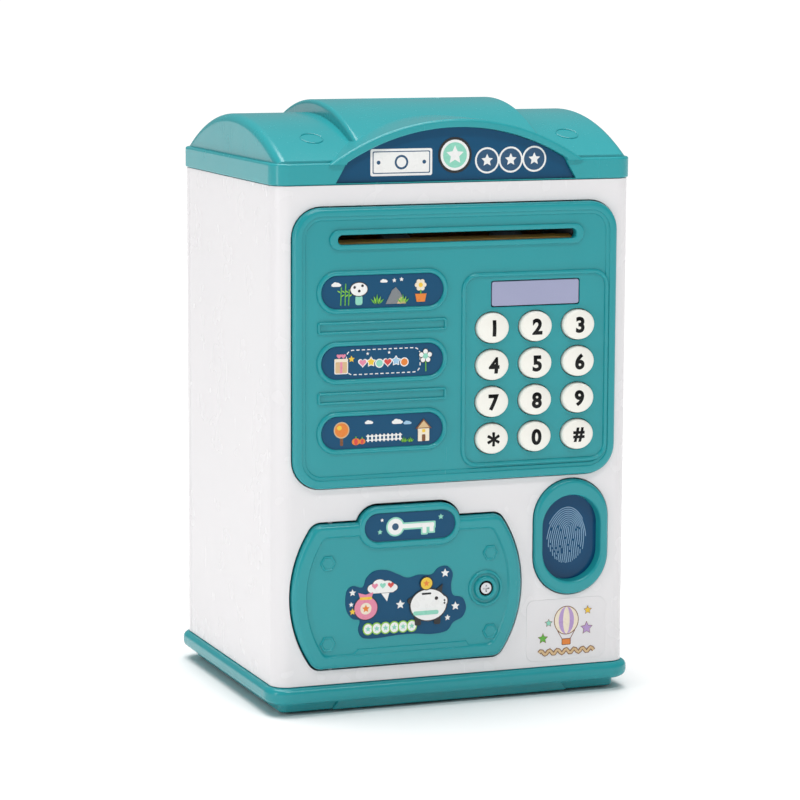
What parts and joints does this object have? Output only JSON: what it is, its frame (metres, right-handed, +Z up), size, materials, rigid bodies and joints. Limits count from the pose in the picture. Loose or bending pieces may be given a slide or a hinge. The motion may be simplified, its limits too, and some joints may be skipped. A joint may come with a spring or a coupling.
{
  "type": "toy atm savings bank",
  "caption": "Toy cash machine money box with a note feeder, keypad, finger window, coin slot and hinged safe door.",
  "frame": {"origin": "centre of the overall box in plan, on the surface that the feet stand on", "axes": "+X to the right seen from the front, +Y from the front to the back, +Z up"},
  "size_m": [0.1394, 0.1133, 0.2138],
  "materials": {
    "white_plastic": "satin moulded",
    "teal_plastic": "glossy moulded",
    "printed_label": "printed film",
    "clear_label": "printed film",
    "lavender_window": "smooth window",
    "finger_window": "smooth window",
    "key_plastic": "smooth moulded",
    "silicone_rubber": "matte",
    "circuit_board": "lacquered",
    "grey_plastic": "moulded",
    "brown_plastic": "moulded",
    "gear_nylon": "moulded",
    "bright_steel": "plated",
    "motor_steel": "plated",
    "black_plastic": "moulded",
    "battery_wrap": "printed wrap"
  },
  "bodies": {
    "case": {"front_shell": "white_plastic", "rear_cover": "white_plastic", "base_tray": "teal_plastic", "rubber_feet": "silicone_rubber", "roof_cover": "teal_plastic", "sign_plate": "printed_label", "front_panel": "teal_plastic", "panel_labels": "printed_label", "display_lens": "lavender_window", "display_module": "grey_plastic", "keypad_mat": "silicone_rubber", "keypad_board": "circuit_board", "latch_solenoid": "motor_steel", "sensor_bezel": "teal_plastic", "sensor_lens": "finger_window", "sensor_board": "circuit_board", "corner_label": "clear_label", "note_guide": "brown_plastic", "feed_frame": "grey_plastic", "feed_motor": "motor_steel", "reduction_axle": "bright_steel", "main_board": "circuit_board", "cash_box": "white_plastic", "coin_chute": "white_plastic", "speaker": "black_plastic", "battery_box": "black_plastic", "batteries": "battery_wrap", "battery_contacts": "bright_steel", "battery_door": "white_plastic", "battery_door_screw": "bright_steel", "power_switch": "grey_plastic", "case_screws": "bright_steel"},
    "door": {"safe_door": "teal_plastic", "hinge_pins": "bright_steel", "door_sign_label": "printed_label", "door_label": "printed_label"},
    "release": {"release_screw": "bright_steel", "release_hook": "grey_plastic"},
    "bolt": {"latch_bolt": "bright_steel"},
    "drive": {"drive_shaft": "bright_steel", "drive_rollers": "silicone_rubber", "drive_gear": "gear_nylon"},
    "idler": {"idler_shaft": "bright_steel", "idler_rollers": "silicone_rubber"},
    "reduction": {"reduction_gear": "gear_nylon"},
    "motor_rotor": {"motor_pinion": "bright_steel"},
    "power_knob": {"switch_slider": "black_plastic"},
    "key_1_body": {"key_1": "key_plastic"},
    "key_2_body": {"key_2": "key_plastic"},
    "key_3_body": {"key_3": "key_plastic"},
    "key_4_body": {"key_4": "key_plastic"},
    "key_5_body": {"key_5": "key_plastic"},
    "key_6_body": {"key_6": "key_plastic"},
    "key_7_body": {"key_7": "key_plastic"},
    "key_8_body": {"key_8": "key_plastic"},
    "key_9_body": {"key_9": "key_plastic"},
    "key_star_body": {"key_star": "key_plastic"},
    "key_0_body": {"key_0": "key_plastic"},
    "key_hash_body": {"key_hash": "key_plastic"}
  },
  "joints": [
    {"name": "door_hinge", "type": "hinge", "parent": "case", "child": "door", "pos_m": [-0.0465, -0.05085, 0.0424], "axis": [0, 0, -1], "range_deg": [0, 100]},
    {"name": "release_turn", "type": "hinge", "parent": "door", "child": "release", "pos_m": [0.0113, -0.05255, 0.0417], "axis": [0, 1, 0], "range_deg": [0, 90]},
    {"name": "bolt_slide", "type": "slide", "parent": "case", "child": "bolt", "axis": [-1, 0, 0], "range_m": [0, 0.006]},
    {"name": "feed_drive", "type": "hinge", "parent": "case", "child": "drive", "pos_m": [0, -0.03755, 0.17415], "axis": [1, 0, 0], "continuous": true},
    {"name": "feed_idler", "type": "hinge", "parent": "case", "child": "idler", "pos_m": [0, -0.03755, 0.16185], "axis": [1, 0, 0], "continuous": true},
    {"name": "reduction_spin", "type": "hinge", "parent": "case", "child": "reduction", "pos_m": [0, -0.02346, 0.16902], "axis": [1, 0, 0], "continuous": true},
    {"name": "motor_spin", "type": "hinge", "parent": "case", "child": "motor_rotor", "pos_m": [0, -0.00645, 0.16902], "axis": [1, 0, 0], "continuous": true},
    {"name": "power_slide", "type": "slide", "parent": "case", "child": "power_knob", "axis": [1, 0, 0], "range_m": [0, 0.0046]},
    {"name": "key_1_press", "type": "slide", "parent": "case", "child": "key_1_body", "axis": [0, 1, 0], "range_m": [0, 0.0012], "stiffness_N_per_m": 600},
    {"name": "key_2_press", "type": "slide", "parent": "case", "child": "key_2_body", "axis": [0, 1, 0], "range_m": [0, 0.0012], "stiffness_N_per_m": 600},
    {"name": "key_3_press", "type": "slide", "parent": "case", "child": "key_3_body", "axis": [0, 1, 0], "range_m": [0, 0.0012], "stiffness_N_per_m": 600},
    {"name": "key_4_press", "type": "slide", "parent": "case", "child": "key_4_body", "axis": [0, 1, 0], "range_m": [0, 0.0012], "stiffness_N_per_m": 600},
    {"name": "key_5_press", "type": "slide", "parent": "case", "child": "key_5_body", "axis": [0, 1, 0], "range_m": [0, 0.0012], "stiffness_N_per_m": 600},
    {"name": "key_6_press", "type": "slide", "parent": "case", "child": "key_6_body", "axis": [0, 1, 0], "range_m": [0, 0.0012], "stiffness_N_per_m": 600},
    {"name": "key_7_press", "type": "slide", "parent": "case", "child": "key_7_body", "axis": [0, 1, 0], "range_m": [0, 0.0012], "stiffness_N_per_m": 600},
    {"name": "key_8_press", "type": "slide", "parent": "case", "child": "key_8_body", "axis": [0, 1, 0], "range_m": [0, 0.0012], "stiffness_N_per_m": 600},
    {"name": "key_9_press", "type": "slide", "parent": "case", "child": "key_9_body", "axis": [0, 1, 0], "range_m": [0, 0.0012], "stiffness_N_per_m": 600},
    {"name": "key_star_press", "type": "slide", "parent": "case", "child": "key_star_body", "axis": [0, 1, 0], "range_m": [0, 0.0012], "stiffness_N_per_m": 600},
    {"name": "key_0_press", "type": "slide", "parent": "case", "child": "key_0_body", "axis": [0, 1, 0], "range_m": [0, 0.0012], "stiffness_N_per_m": 600},
    {"name": "key_hash_press", "type": "slide", "parent": "case", "child": "key_hash_body", "axis": [0, 1, 0], "range_m": [0, 0.0012], "stiffness_N_per_m": 600}
  ],
  "couplings": [
    {"joint": "feed_idler", "follows": "feed_drive", "ratio": -1},
    {"joint": "reduction_spin", "follows": "feed_drive", "ratio": -1.5},
    {"joint": "motor_spin", "follows": "feed_drive", "ratio": 3.6}
  ]
}
